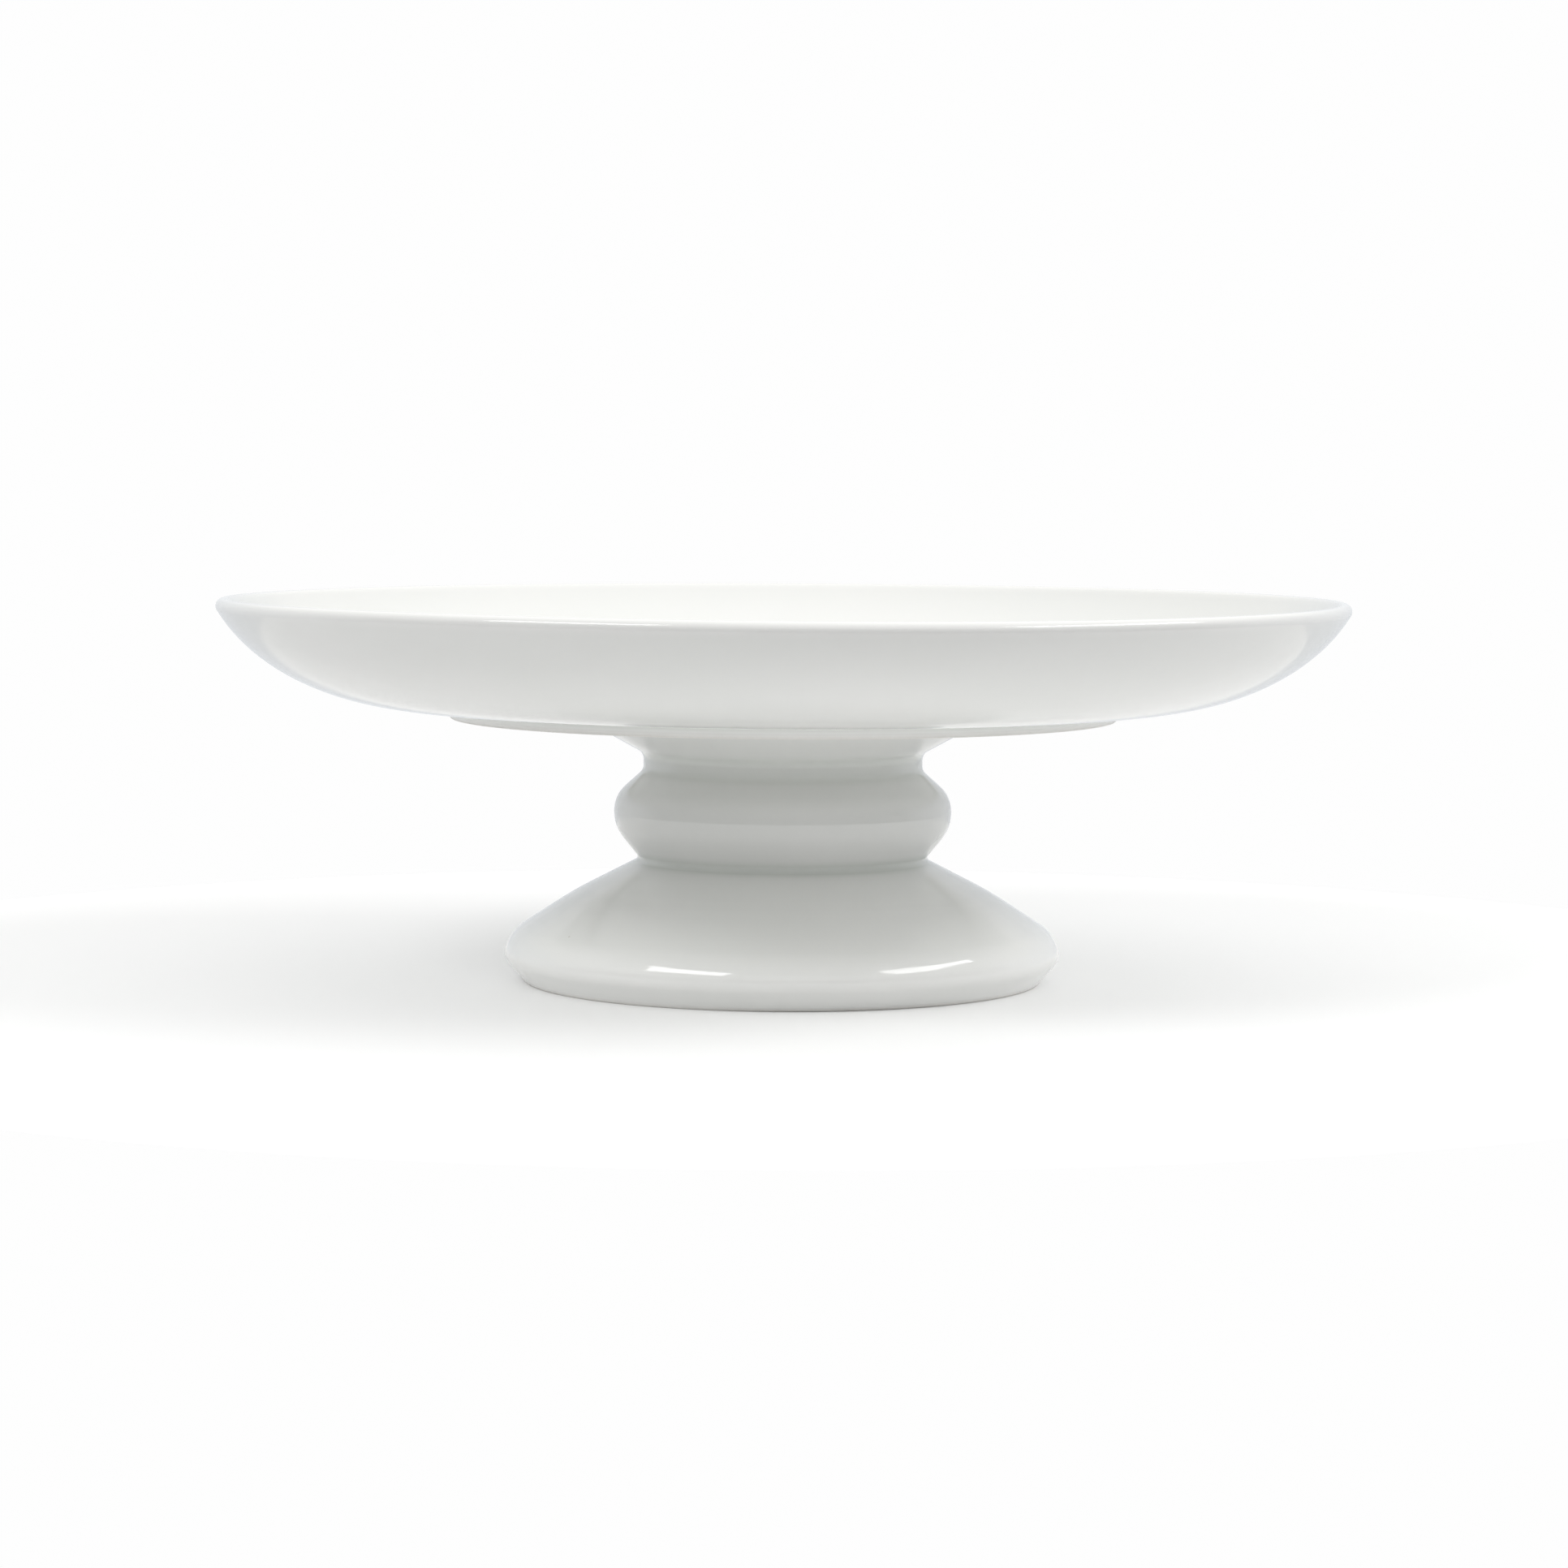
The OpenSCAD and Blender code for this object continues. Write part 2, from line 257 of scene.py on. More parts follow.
def lathe(name, path, segments, closed, shape=None, masks=None, sharp=35.0):
    """Turns an (r, z) outline round the axis. shape(r, z, angle) gives each point's own small
    departure from round, as (dr, dz). masks are {attribute: value at each outline point}."""
    ON_AXIS = 1e-7
    verts, rows = [], []
    shape = shape or (lambda r, z, a: (0.0, 0.0))
    for r, z in path:
        if r < ON_AXIS:
            rows.append([len(verts)] * segments)
            verts.append((0.0, 0.0, z))
            continue
        rows.append(range(len(verts), len(verts) + segments))
        for k in range(segments):
            a = TURN * k / segments
            dr, dz = shape(r, z, a)
            verts.append(((r + dr) * math.cos(a), (r + dr) * math.sin(a), z + dz))
    obj = skin(name, verts, rows, closed, sharp)
    for key, values in (masks or {}).items():
        layer = obj.data.attributes.new(key, "FLOAT", "POINT")
        for row, value in zip(rows, values):
            for i in row:
                layer.data[i].value = value
    return obj


def polar(name, rings, segments, sharp):
    """A closed skin from rings of (radius at each angle, z). The last ring joins the first,
    unless both ends lie on the axis. radius is a number or a function of the angle."""
    verts, rows = [], []
    for radius, z in rings:
        if radius == 0:
            rows.append([len(verts)] * segments)
            verts.append((0.0, 0.0, z))
            continue
        rows.append(range(len(verts), len(verts) + segments))
        for k in range(segments):
            a = TURN * k / segments
            r = radius(a) if callable(radius) else radius
            verts.append((r * math.cos(a), r * math.sin(a), z))
    return skin(name, verts, rows, rings[0][0] != 0, sharp)


# ---------------------------------------------------------------- materials

class Nodes:
    """Builds one material's node tree on top of its Principled shader."""

    MIX_COLOR = 2       # which output of a Mix node carries a colour

    def __init__(self, name, base, roughness, **sockets):
        self.material = bpy.data.materials.new(name)
        self.material.use_nodes = True
        self.tree = self.material.node_tree
        self.shader = self.tree.nodes["Principled BSDF"]
        self.shader.inputs["Base Color"].default_value = (*base, 1.0)
        self.shader.inputs["Roughness"].default_value = roughness
        for key, value in sockets.items():
            self.shader.inputs[key.replace("_", " ")].default_value = value
        self.where = self.add("ShaderNodeTexCoord").outputs["Object"]

    def add(self, kind, **values):
        node = self.tree.nodes.new(kind)
        for key, value in values.items():
            setattr(node, key, value)
        return node

    def feed(self, node, **values):
        """Sets a node's inputs by name, each to a plain value or from another node's output."""
        for key, value in values.items():
            socket = node.inputs[key.replace("_", " ")]
            if hasattr(value, "is_linked"):
                self.tree.links.new(value, socket)
            else:
                socket.default_value = value

    def noise(self, scale, detail=3.0, rough=0.5):
        node = self.add("ShaderNodeTexNoise")
        self.feed(node, Vector=self.where, Scale=scale, Detail=detail, Roughness=rough)
        return node.outputs["Fac"]

    def rings(self, scale):
        """Concentric turning marks round the axis."""
        WOBBLE, DETAIL = 0.3, 2.0
        node = self.add("ShaderNodeTexWave", wave_type="RINGS", rings_direction="Z")
        self.feed(node, Vector=self.where, Scale=scale, Distortion=WOBBLE, Detail=DETAIL)
        return node.outputs["Fac"]

    def attribute(self, name):
        return self.add("ShaderNodeAttribute", attribute_name=name).outputs["Fac"]

    def ramp(self, value, low, high, to_low=0.0, to_high=1.0):
        node = self.add("ShaderNodeMapRange")
        self.feed(node, Value=value, From_Min=low, From_Max=high, To_Min=to_low, To_Max=to_high)
        return node.outputs["Result"]

    def times(self, a, b):
        node = self.add("ShaderNodeMath", operation="MULTIPLY")
        for socket, value in zip(node.inputs, (a, b)):
            if hasattr(value, "is_linked"):
                self.tree.links.new(value, socket)
            else:
                socket.default_value = value
        return node.outputs["Value"]

    def mix(self, share, a, b):
        """From colour a to colour b as share goes from 0 to 1."""
        node = self.add("ShaderNodeMix", data_type="RGBA")
        a, b = ((*c, 1.0) if isinstance(c, tuple) else c for c in (a, b))
        self.feed(node, Factor=share, A=a, B=b)
        return node.outputs[self.MIX_COLOR]

    def bump(self, height, distance, before=None):
        node = self.add("ShaderNodeBump")
        self.feed(node, Height=height, Distance=distance)
        if before is not None:
            self.feed(node, Normal=before)
        return node.outputs["Normal"]

    def finish(self, color, roughness=None, normal=None):
        self.feed(self.shader, Base_Color=color)
        if roughness is not None:
            self.feed(self.shader, Roughness=roughness)
        if normal is not None:
            self.feed(self.shader, Normal=normal)
        return self.material


def porcelain():
    """White body under a clear gloss glaze. It reads how creased and how bare each point is, and
    paints creases darker as painted shade and edges lighter as a painted highlight, each with a little
    glaze tint.
    """
    CLOUDY, CLEAR = (0.853, 0.86, 0.838), (0.872, 0.874, 0.856)
    # The crease and edge colours below are painted shade and a painted highlight, each with a little
    # glaze tint
    POOLED_AND_SHADED, DRAWN_THIN_AND_LIT, PINHOLE = (0.78, 0.80, 0.765), (0.90, 0.895, 0.88), (0.45, 0.42, 0.36)
    CLAY_DARK, CLAY_LIGHT, CLAY_ROUGH = (0.74, 0.725, 0.69), (0.83, 0.82, 0.79), 0.72
    HOLES_SCALE, HOLE_CORE, HOLE_EDGE, HOLE_SHARE, HOLE_STRENGTH = 55.0, 0.010, 0.022, 0.93, 0.45
    WAVES, PEEL, GRAIN = 0.00004, 0.000003, 0.00006
    m = Nodes("porcelain", (0.86, 0.865, 0.845), 0.08, IOR=1.52)
    glaze_and_painted_shading, bare = m.attribute("glaze_and_painted_shading"), m.attribute("bare")
    body = m.mix(m.ramp(m.noise(18.0, 2.0), 0.3, 0.7), CLOUDY, CLEAR)
    # Painted shade: creases turn darker and greener, with a little real glaze tint where it gathers
    pooled_and_shaded = m.mix(m.ramp(glaze_and_painted_shading, 0.05, 0.9), body, POOLED_AND_SHADED)
    # Painted highlight: edges turn lighter, with a little real glaze running thinner there
    thin_and_edge_lit = m.mix(m.ramp(glaze_and_painted_shading, -0.9, -0.15, 0.6, 0.0), pooled_and_shaded, DRAWN_THIN_AND_LIT)
    cells = m.add("ShaderNodeTexVoronoi")
    m.feed(cells, Vector=m.where, Scale=HOLES_SCALE)
    tone = m.add("ShaderNodeSeparateColor")
    m.feed(tone, Color=cells.outputs["Color"])
    near = m.ramp(cells.outputs["Distance"], HOLE_CORE, HOLE_EDGE, 1.0, 0.0)
    rare = m.ramp(tone.outputs["Red"], HOLE_SHARE, HOLE_SHARE + 0.01)
    speckled = m.mix(m.times(m.times(near, rare), HOLE_STRENGTH), thin_and_edge_lit, PINHOLE)
    clay = m.mix(m.noise(900.0, 4.0, 0.7), CLAY_DARK, CLAY_LIGHT)
    gloss = m.ramp(m.noise(35.0, 3.0), 0.3, 0.75, 0.06, 0.115)
    roughness = m.add("ShaderNodeMix")
    m.feed(roughness, Factor=bare, A=gloss, B=CLAY_ROUGH)
    waves = m.bump(m.noise(30.0, 1.0), WAVES)
    peel = m.bump(m.noise(380.0, 1.0), PEEL, waves)
    grain = m.bump(m.times(m.noise(2600.0, 3.0, 0.7), bare), GRAIN, peel)
    return m.finish(m.mix(bare, speckled, clay), roughness.outputs["Result"], grain)


def steel():
    CLEAN, STAINED, MARKS = (0.68, 0.69, 0.70), (0.57, 0.575, 0.58), 0.000006
    m = Nodes("steel", (0.66, 0.67, 0.68), 0.3, Metallic=1.0)
    marks = m.rings(5200.0)
    color = m.mix(m.ramp(m.noise(160.0, 4.0), 0.35, 0.75), CLEAN, STAINED)
    return m.finish(color, m.ramp(marks, 0.0, 1.0, 0.24, 0.38), m.bump(marks, MARKS))


def brass():
    CLEAN, TARNISHED, MARKS = (0.80, 0.62, 0.31), (0.56, 0.40, 0.19), 0.000008
    m = Nodes("brass", (0.78, 0.6, 0.29), 0.28, Metallic=1.0)
    tarnish = m.ramp(m.noise(240.0, 4.0, 0.6), 0.42, 0.75)
    color = m.mix(tarnish, CLEAN, TARNISHED)
    return m.finish(color, m.ramp(tarnish, 0.0, 1.0, 0.24, 0.46), m.bump(m.rings(4200.0), MARKS))


def cement():
    DARK, LIGHT, GRIT = (0.54, 0.53, 0.50), (0.68, 0.67, 0.64), 0.00025
    m = Nodes("cement", (0.62, 0.61, 0.58), 0.9)
    sand = m.noise(1500.0, 5.0, 0.7)
    color = m.mix(m.noise(500.0, 4.0, 0.6), DARK, LIGHT)
    return m.finish(color, m.ramp(sand, 0.2, 0.8, 0.82, 0.96), m.bump(sand, GRIT))


def silicone():
    DULL, CLEAR, GRAIN = (0.79, 0.80, 0.79), (0.86, 0.865, 0.855), 0.00001
    m = Nodes("silicone", (0.82, 0.83, 0.82), 0.38, Subsurface_Weight=0.5, Subsurface_Scale=0.002)
    haze = m.noise(300.0, 3.0)
    color = m.mix(haze, DULL, CLEAR)
    return m.finish(color, m.ramp(haze, 0.2, 0.8, 0.32, 0.46), m.bump(m.noise(1800.0, 2.0), GRAIN))


def soft_rubber():
    BLACK, BLOOMED, GRAIN = (0.035, 0.035, 0.038), (0.085, 0.085, 0.088), 0.00003
    m = Nodes("soft_rubber", (0.05, 0.05, 0.055), 0.6)
    bloom = m.ramp(m.noise(220.0, 4.0, 0.65), 0.45, 0.8)
    color = m.mix(bloom, BLACK, BLOOMED)
    return m.finish(color, m.ramp(bloom, 0.0, 1.0, 0.5, 0.74), m.bump(m.noise(2200.0, 3.0), GRAIN))


def nylon():
    DULL, CLEAR, GRAIN = (0.83, 0.83, 0.805), (0.87, 0.868, 0.85), 0.00003
    m = Nodes("nylon", (0.86, 0.86, 0.84), 0.48)
    grain = m.noise(2400.0, 2.0, 0.6)
    color = m.mix(m.noise(70.0, 3.0), DULL, CLEAR)
    return m.finish(color, m.ramp(grain, 0.3, 0.7, 0.42, 0.56), m.bump(grain, GRAIN))


def studio_white():
    DULL, CLEAR = (0.955, 0.955, 0.955), (0.965, 0.965, 0.965)
    m = Nodes("studio_floor", (0.96, 0.96, 0.96), 0.6)
    return m.finish(m.mix(m.noise(1.5, 2.0), DULL, CLEAR))


def place(piece, body, slot, material, *nodes):
    """Gives a finished piece its finish and its body, and hides the CAD nodes that it stands for."""
    piece.data.materials.clear()
    piece.data.materials.append(material)
    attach(piece, body)
    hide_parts(*nodes)


# ---------------------------------------------------------------- porcelain pieces

FINE = 1.4 * MM             # longest step along a porcelain outline
ROUND = 224                 # segments round a porcelain piece
GLAZE_AND_SHADE_REACH = 1.6 * MM      # how far the painted crease shade and edge highlight spread, as glaze flows into a crease


def dish_warp(radius):
    """A big plate dries and fires a fraction of a millimetre out of flat. The middle, which the
    pedestal carries, stays true, and no point rises above the CAD shape."""
    SADDLE, TRIANGLE, TRUE_R = 0.22 * MM, 0.10 * MM, 55 * MM

    def shape(r, z, a):
        share = between(r, TRUE_R, radius) * (r / radius) ** 2
        lift = SADDLE * math.sin(2 * a + 0.6) + TRIANGLE * math.sin(3 * a + 2.1)
        return 0.0, (lift - SADDLE - TRIANGLE) * share
    return shape


def foot_warp(height):
    """The pedestal is out of round by about a tenth of a millimetre, never outside the CAD shape,
    and true at both ends."""
    OVAL, TRUE_END, FULL = 0.0009, 0.06 * height, 0.2 * height

    def shape(r, z, a):
        share = between(z, TRUE_END, FULL) * between(height - z, TRUE_END, FULL)
        return r * OVAL * share * (math.sin(2 * a + 1.0) - 1.0), 0.0
    return shape


def bare_mask(path, low, high, inner=0.0, outer=1.0, feather=0.5 * MM):
    """1 where the outline lies between two heights and two radii, and a short fade to 0 round it."""
    return [
        1.0 - between(max(low - z, z - high, inner - r, r - outer, 0.0), 0.0, feather)
        for r, z in path
    ]


def make_plate(material):
    """Bare clay shows on the boss's end, in the insert's socket, and under the foot ring."""
    BOSS_BARE, RING_BARE, RING_FADE, RING_INSIDE = 0.3 * MM, 0.25 * MM, 0.4 * MM, 0.25
    low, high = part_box("plate")
    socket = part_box("insert_cement")[1]
    path = refined(half_section("plate"), False, FINE)
    inner = RING_INSIDE * high.x
    ring_bottom = min(z for r, z in path if r > inner)
    bare = [max(three) for three in zip(
        bare_mask(path, low.z, low.z + BOSS_BARE),
        bare_mask(path, ring_bottom, ring_bottom + RING_BARE, inner, high.x, RING_FADE),
        bare_mask(path, low.z, socket.z, 0.0, socket.x),
    )]
    # The crease mask paints shade into creases and a highlight on edges, with a little glaze tint
    piece = lathe("plate_glazed", path, ROUND, closed=False, shape=dish_warp(high.x),
                  masks={"glaze_and_painted_shading": hollow_amount(path, False, GLAZE_AND_SHADE_REACH), "bare": bare})
    place(piece, "dish", "porcelain", material, "plate")


def make_pedestal(material):
    """Bare clay shows where the foot stands."""
    FOOT_BARE, FOOT_FADE = 0.35 * MM, 0.6 * MM
    low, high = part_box("pedestal")
    path = refined(half_section("pedestal"), True, FINE)
    bare = bare_mask(path, low.z, low.z + FOOT_BARE, feather=FOOT_FADE)
    # The crease mask paints shade into creases and a highlight on edges, with a little glaze tint
    piece = lathe("pedestal_glazed", path, ROUND, closed=True, shape=foot_warp(high.z),
                  masks={"glaze_and_painted_shading": hollow_amount(path, True, GLAZE_AND_SHADE_REACH), "bare": bare})
    place(piece, "base", "porcelain", material, "pedestal")


# ---------------------------------------------------------------- soft rings

def bulged_ring(name, node, bulge, segments):
    """A squeezed ring: its free sides swell a little, and its faces stay flat. The swelling ends at
    the CAD ring's own sides, so the ring is drawn in by that much at its faces."""
    ROWS = 10
    inner, outer, low, high = extent(half_section(node))
    side = [(math.sin(math.pi * k / ROWS), low + (high - low) * k / ROWS) for k in range(ROWS + 1)]
    rings = [(outer - bulge * (1 - s), z) for s, z in side]
    rings += [(inner + bulge * (1 - s), z) for s, z in reversed(side)]
    return polar(name, rings, segments, sharp=50.0)


def make_soft_rings(clear, black):
    gasket = bulged_ring("gasket", "seat_gasket", bulge=0.45 * MM, segments=192)
    place(gasket, "base", "silicone", clear, "seat_gasket")
    washer = bulged_ring("soft_washer", "cushion_washer", bulge=0.5 * MM, segments=160)
    place(washer, "base", "soft_rubber", black, "cushion_washer")


# ---------------------------------------------------------------- hardware

PITCH = 1.25 * MM           # of an M8 thread
CREST = 0.16                # share of the pitch that is flat at the crest, and at the root
ROWS_PER_TURN = 16
HEAD_H = 5.3 * MM           # of an M8 hexagon head
MAJOR_R = 3.95 * MM         # of the screw's thread, over its crests
MINOR_R = 3.34 * MM         # of the screw's thread, at its root


def thread_depth(angle, z):
    """0 at the root of a right-hand thread and 1 on its crest, with sloping flanks between."""
    turn = (z / PITCH - angle / TURN) % 1.0
    ramp = (0.5 - abs(turn - 0.5)) * 2
    return between(ramp, CREST, 1 - CREST)


def make_load_washer(material):
    path = refined(half_section("load_washer"), True, 0.5 * MM)
    place(lathe("flat_washer", path, 128, closed=True), "washers", "steel", material, "load_washer")


def make_spring_washer(material):
    """One turn of square bar, pressed flat, with a slanting split and rounded edges."""
    SPLIT, TILT, EDGE, EDGE_STEPS, STEPS = 0.8 * MM, math.radians(25), 0.22 * MM, 3, 144
    low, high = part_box("spring_washer")
    inner, outer = min(r for r, z in half_section("load_washer")), -low.x
    middle = (low.z + high.z) / 2
    section = []
    for turn, (r, z) in enumerate(((outer, high.z), (inner, high.z), (inner, low.z), (outer, low.z))):
        cr = r + (EDGE if r == inner else -EDGE)
        cz = z + (EDGE if z == low.z else -EDGE)
        for k in range(EDGE_STEPS + 1):
            a = (turn + k / EDGE_STEPS) * TURN / 4
            section.append((cr + EDGE * math.cos(a), cz + EDGE * math.sin(a)))
    verts, faces, n = [], [], len(section)
    half_split = SPLIT / 2 / math.cos(TILT)
    for i in range(STEPS + 1):
        for r, z in section:
            lean = (z - middle) * math.tan(TILT)
            start = math.asin(clamp((half_split - lean) / r, -1.0, 1.0))
            end = TURN - math.asin(clamp((half_split + lean) / r, -1.0, 1.0))
            a = start + (end - start) * i / STEPS
            verts.append((r * math.cos(a), r * math.sin(a), z))
    for i in range(STEPS):
        for k in range(n):
            m = (k + 1) % n
            faces.append((i * n + k, i * n + m, (i + 1) * n + m, (i + 1) * n + k))
    faces.append(tuple(range(n)))
    faces.append(tuple(reversed(range(STEPS * n, STEPS * n + n))))
    piece = new_object("spring_washer_bar", verts, faces, sharp=40.0)
    outward(piece.data)
    place(piece, "washers", "steel", material, "spring_washer")


def make_insert(material):
    """Turned bush with keying grooves outside and the screw's thread inside. Its crests stand
    CREST_IN inside the CAD bore, which still clears the screw's root."""
    CREST_IN, ROOT_IN, LEAD, WALL = 0.62 * MM, 0.03 * MM, 0.9 * MM, 1.2 * MM
    outline = half_section("threaded_insert")
    bore_r, _, low, high = extent(outline)
    crest, root = bore_r - CREST_IN, bore_r - ROOT_IN
    outside = {(r, z) for r, z in outline if r > bore_r + WALL}
    rings = sorted(outside, key=lambda p: (round(p[1], 6), p[0]))
    rows = round((high - low) / PITCH * ROWS_PER_TURN)
    for k in range(rows + 1):
        z = high - (high - low) * k / rows
        depth = (root - crest) * between(min(high - z, z - low), 0.0, LEAD)
        rings.append((lambda a, z=z, depth=depth: root - depth * (1 - thread_depth(a, z)), z))
    piece = polar("insert_bush", rings, 96, sharp=50.0)
    place(piece, "dish", "brass", material, "threaded_insert")


def make_cement(material):
    path = refined(half_section("insert_cement"), False, 0.8 * MM)
    piece = lathe("cement_fill", path, 128, closed=False, sharp=30.0)
    place(piece, "dish", "cement", material, "insert_cement")


def make_screw(material):
    """M8 hex bolt: chamfered head, a thread to the head, and a pointed-off end."""
    FACE, UNDER_FACE, CHAMFER, STEPS = 0.96, 0.8, math.radians(30), 8
    FILLET_R, FILLET_H, FILLET_END = 0.3 * MM, 0.35 * MM, 0.02 * MM
    THREAD_START, RUN_OUT, TIP, TIP_IN, CAP_IN = 0.4 * MM, 1.2 * PITCH, 0.9 * MM, 0.55 * MM, 1.4 * MM
    low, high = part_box("clamp_screw")
    across = high.y - low.y
    head_top = low.z + HEAD_H
    face_r, corner = across / 2 * FACE, across / 2 / math.cos(TURN / 12)
    slope = math.tan(CHAMFER)

    def hexed(chamfer_r):
        return lambda a: min(hexagon(across, a), chamfer_r)

    chamfer = [face_r + (corner - face_r) * k / STEPS for k in range(STEPS + 1)]
    rings = [(face_r * share, low.z) for share in (0, 0.35, 0.9, 1)]
    rings += [(hexed(r), low.z + (r - face_r) * slope) for r in chamfer[1:]]
    rings += [(hexed(r), head_top - (r - face_r) * slope) for r in reversed(chamfer[:-1])]
    rings += [(face_r * UNDER_FACE, head_top), (MAJOR_R + FILLET_R, head_top)]
    rings.append((MINOR_R + FILLET_END, head_top + FILLET_H))
    start, end = head_top + THREAD_START, high.z
    rows = round((end - start) / PITCH * ROWS_PER_TURN)
    for k in range(rows + 1):
        z = start + (end - start) * k / rows
        grow = between(z, start, start + RUN_OUT)
        tip_r = MINOR_R - TIP_IN + (MAJOR_R - MINOR_R + TIP_IN) * between(end - z, 0.0, TIP)

        def radius(a, z=z, grow=grow, tip_r=tip_r):
            return min(MINOR_R + (MAJOR_R - MINOR_R) * thread_depth(a, z) * grow, tip_r)
        rings.append((radius, z))
    rings += [(MINOR_R - CAP_IN, end), (0, end)]
    piece = polar("hex_screw", rings, 96, sharp=35.0)
    place(piece, "knob", "steel", material, "clamp_screw")


def make_knob(material):
    """Six-lobed grip with a hub, a hexagonal pocket for the screw's head, and a hole through it."""
    LOBES, HOLLOW_R, HOLLOW_IN, BLEND = 6, 6 * MM, 2.5 * MM, 1.6 * MM
    HUB_R, HUB_H, HUB_ROOT, HUB_EDGE, HUB_GAP = 9.5 * MM, 3 * MM, 1.5 * MM, 0.5 * MM, 0.2 * MM
    EDGE, ARC, FACE_IN, TOP_IN = 2.0 * MM, 8, 1.5 * MM, 1.0 * MM
    PLAY, MOUTH, MOUTH_FACE, FLOOR_EASE = 0.1 * MM, 0.45 * MM, 1.2 * MM, 0.3 * MM
    HOLE_EDGE, HOLE_LIP, HOLE_FACE = 0.5 * MM, 0.01 * MM, 0.2 * MM
    low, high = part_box("screw_knob")
    grip_r, top = high.y, high.z - HUB_H
    screw_low, screw_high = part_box("clamp_screw")
    across = screw_high.y - screw_low.y + PLAY
    floor = screw_low.z + HEAD_H
    hole = min(r for r, z in half_section("load_washer"))
    centre = grip_r + HOLLOW_R - HOLLOW_IN

    def lobed(inset):
        def radius(a):
            sector = TURN / LOBES
            off = (a + sector / 2) % sector - sector / 2
            side = HOLLOW_R ** 2 - (centre * math.sin(off)) ** 2
            hollow = centre * math.cos(off) - math.sqrt(side) if side > 0 else grip_r + HOLLOW_R
            return smooth_min(grip_r, hollow, BLEND) - inset
        return radius

    def pocket(grow):
        return lambda a: hexagon(across, a) + grow

    def quarter(steps):
        """1 - cosine and 1 - sine, from 0 to 90 degrees."""
        angles = [TURN / 4 * k / steps for k in range(steps + 1)]
        return [(1 - math.cos(a), 1 - math.sin(a)) for a in angles]

    rings = [(pocket(MOUTH), low.z), (pocket(MOUTH_FACE), low.z), (lobed(EDGE + FACE_IN), low.z)]
    rings += [(lobed(EDGE * s), low.z + EDGE * c) for c, s in quarter(ARC)]
    rings += [(lobed(EDGE * c), top - EDGE * s) for c, s in quarter(ARC)]
    rings.append((lambda a: max(lobed(EDGE + TOP_IN)(a), HUB_R + HUB_ROOT + HUB_GAP), top))
    rings += [(HUB_R + HUB_ROOT * s, top + HUB_ROOT * c) for c, s in quarter(ARC)]
    rings += [(HUB_R - HUB_EDGE * c, high.z - HUB_EDGE * s) for c, s in quarter(ARC // 2)]
    rings += [(hole + HOLE_EDGE, high.z), (hole, high.z - HOLE_EDGE), (hole, floor + HOLE_LIP)]
    rings += [(hole + HOLE_FACE, floor), (pocket(-FLOOR_EASE), floor)]
    rings += [(pocket(0.0), floor - FLOOR_EASE), (pocket(0.0), low.z + MOUTH)]
    piece = polar("lobed_knob", rings, 288, sharp=35.0)
    place(piece, "knob", "moulded_plastic", material, "screw_knob")


# ---------------------------------------------------------------- stage

def make_stage():
    """A round white table top. Past its edge the camera sees the studio's plain white."""
    TABLE_R, SIDES = 0.31, 192
    verts = [(0.0, 0.0, 0.0)]
    verts += [(TABLE_R * math.cos(TURN * k / SIDES), TABLE_R * math.sin(TURN * k / SIDES), 0.0)
              for k in range(SIDES)]
    faces = [(0, k + 1, (k + 1) % SIDES + 1) for k in range(SIDES)]
    floor = new_object("studio_floor", verts, faces)
    floor.data.materials.append(studio_white())
    floor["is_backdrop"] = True


def softbox(name, target, azimuth, elevation, distance, width, height, radiance):
    """An area light on a sphere round the target. Azimuth 0 is the camera's side, 90 is +X."""
    data = bpy.data.lights.new(name, "AREA")
    data.shape = "RECTANGLE"
    data.size, data.size_y = width, height
    data.energy = radiance * math.pi * width * height
    lamp = bpy.data.objects.new(name, data)
    a, e = math.radians(azimuth), math.radians(elevation)
    away = Vector((math.sin(a) * math.cos(e), -math.cos(a) * math.cos(e), math.sin(e)))
    lamp.location = target + away * distance
    lamp.rotation_euler = away.to_track_quat("Z", "Y").to_euler()
    bpy.context.scene.collection.objects.link(lamp)


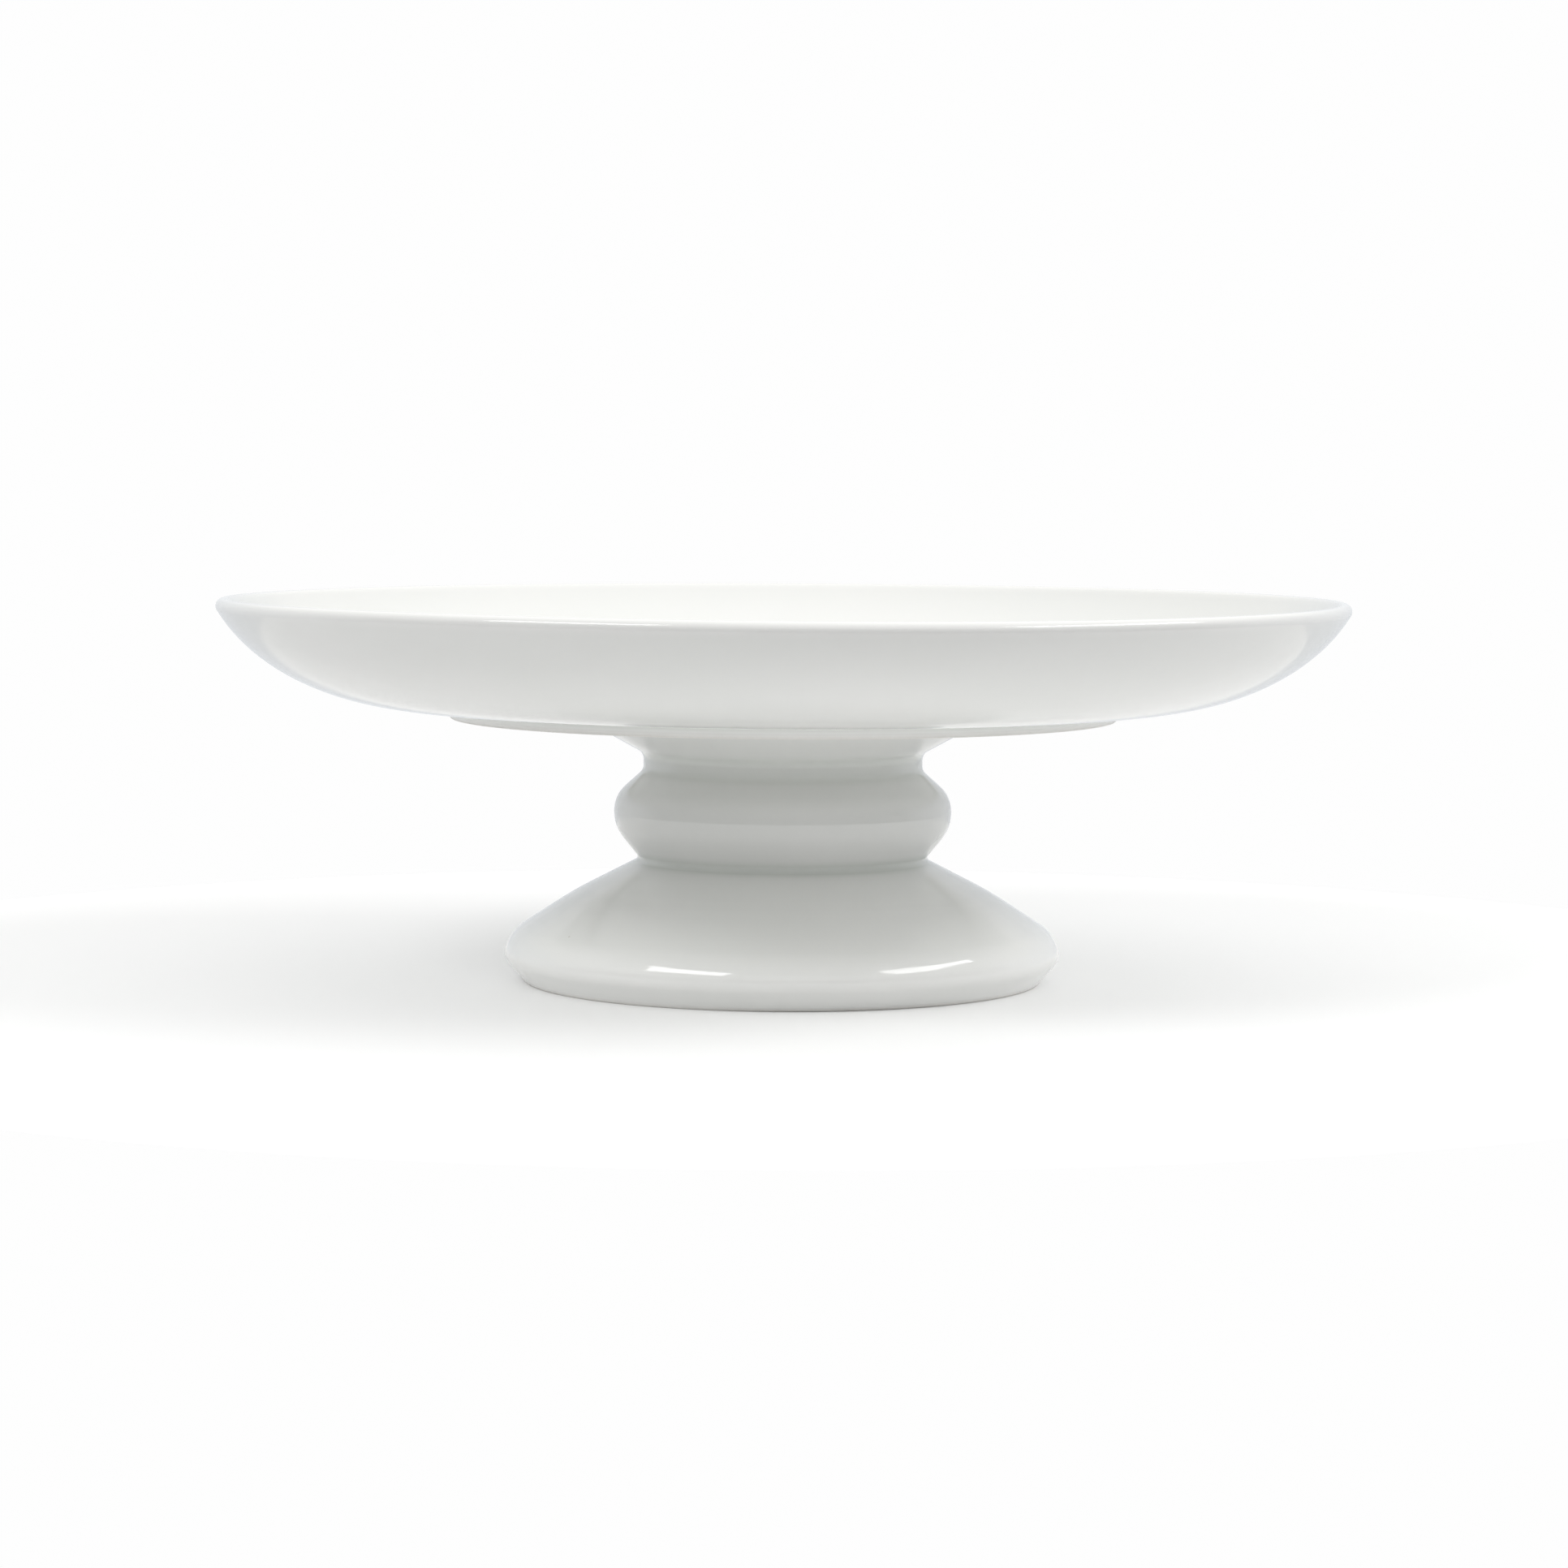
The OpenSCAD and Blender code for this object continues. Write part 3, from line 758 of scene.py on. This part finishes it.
def make_room():
    """A studio with a white sweep behind the object, a bright ceiling, and dim cool walls in front.
    It lights the object and shows in its glaze. The camera itself sees plain white past the table."""
    FRONT, BACK, CEILING = 0.14, 0.82, 0.92
    WALL_TOP, CEILING_EDGE = 0.25, 0.50
    SWEEP_START, SWEEP_END = -0.10, 0.45
    COOL, WARM = (0.93, 0.96, 1.0, 1.0), (1.0, 0.998, 0.985, 1.0)
    WHITE, BACKDROP = (1.0, 1.0, 1.0, 1.0), 0.99
    world = bpy.data.worlds.new("studio")
    world.use_nodes = True
    tree = world.node_tree
    add, link = tree.nodes.new, tree.links.new

    def fall(value, low, high, start, end):
        node = add("ShaderNodeMapRange")
        node.interpolation_type = "SMOOTHSTEP"
        for key, v in zip(("From Min", "From Max", "To Min", "To Max"), (low, high, start, end)):
            if hasattr(v, "is_linked"):
                link(v, node.inputs[key])
            else:
                node.inputs[key].default_value = v
        link(value, node.inputs["Value"])
        return node.outputs["Result"]

    split = add("ShaderNodeSeparateXYZ")
    link(add("ShaderNodeTexCoord").outputs["Generated"], split.inputs["Vector"])
    walls = fall(split.outputs["Y"], SWEEP_START, SWEEP_END, FRONT, BACK)
    strength = fall(split.outputs["Z"], WALL_TOP, CEILING_EDGE, walls, CEILING)
    tint = add("ShaderNodeMix")
    tint.data_type = "RGBA"
    tint.inputs["A"].default_value, tint.inputs["B"].default_value = COOL, WARM
    link(fall(split.outputs["Z"], WALL_TOP, CEILING_EDGE, 0.0, 1.0), tint.inputs["Factor"])
    room = tree.nodes["Background"]
    link(tint.outputs[Nodes.MIX_COLOR], room.inputs["Color"])
    link(strength, room.inputs["Strength"])
    shown = add("ShaderNodeBackground")
    shown.inputs["Color"].default_value = WHITE
    shown.inputs["Strength"].default_value = BACKDROP
    choice = add("ShaderNodeMixShader")
    link(add("ShaderNodeLightPath").outputs["Is Camera Ray"], choice.inputs["Fac"])
    link(room.outputs["Background"], choice.inputs[1])
    link(shown.outputs["Background"], choice.inputs[2])
    link(choice.outputs["Shader"], tree.nodes["World Output"].inputs["Surface"])
    bpy.context.scene.world = world


def make_lights():
    foot = Vector((0.0, 0.0, 0.1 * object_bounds()[1].z))
    softbox("left_strip", foot, azimuth=-45, elevation=42, distance=1.3,
            width=0.70, height=0.25, radiance=7.5)
    softbox("right_strip", foot, azimuth=75, elevation=42, distance=1.3,
            width=0.90, height=0.25, radiance=7.0)
    make_room()
    bpy.context.scene.view_settings.view_transform = "Standard"


def make_camera():
    """The photograph's view: a long lens in front of the object, a little above it, barely rolled."""
    LENS_MM, SENSOR_MM, ROLL = 99.19, 36.0, math.radians(0.33)
    EYE_BACK, EYE_UP, AIM_RIGHT, AIM_UP, NEAR = 1.15, 0.089, 0.0003, 0.0014, 0.05
    data = bpy.data.cameras.new("camera")
    data.lens, data.sensor_width = LENS_MM, SENSOR_MM
    data.clip_start = NEAR
    camera = bpy.data.objects.new("camera", data)
    low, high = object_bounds()
    middle = (low.z + high.z) / 2
    eye = Vector((0.0, -EYE_BACK, middle + EYE_UP))
    aim = Vector((AIM_RIGHT, 0.0, middle + AIM_UP))
    turn = (aim - eye).to_track_quat("-Z", "Y").to_matrix() @ Matrix.Rotation(ROLL, 3, "Z")
    camera.matrix_world = Matrix.Translation(eye) @ turn.to_4x4()
    bpy.context.scene.collection.objects.link(camera)
    bpy.context.scene.camera = camera


# ---------------------------------------------------------------- the whole

make_camera()
glaze = porcelain()
metal = steel()
make_plate(glaze)
make_pedestal(glaze)
make_soft_rings(silicone(), soft_rubber())
make_insert(brass())
make_cement(cement())
make_load_washer(metal)
make_spring_washer(metal)
make_screw(metal)
make_knob(nylon())
make_stage()
make_lights()
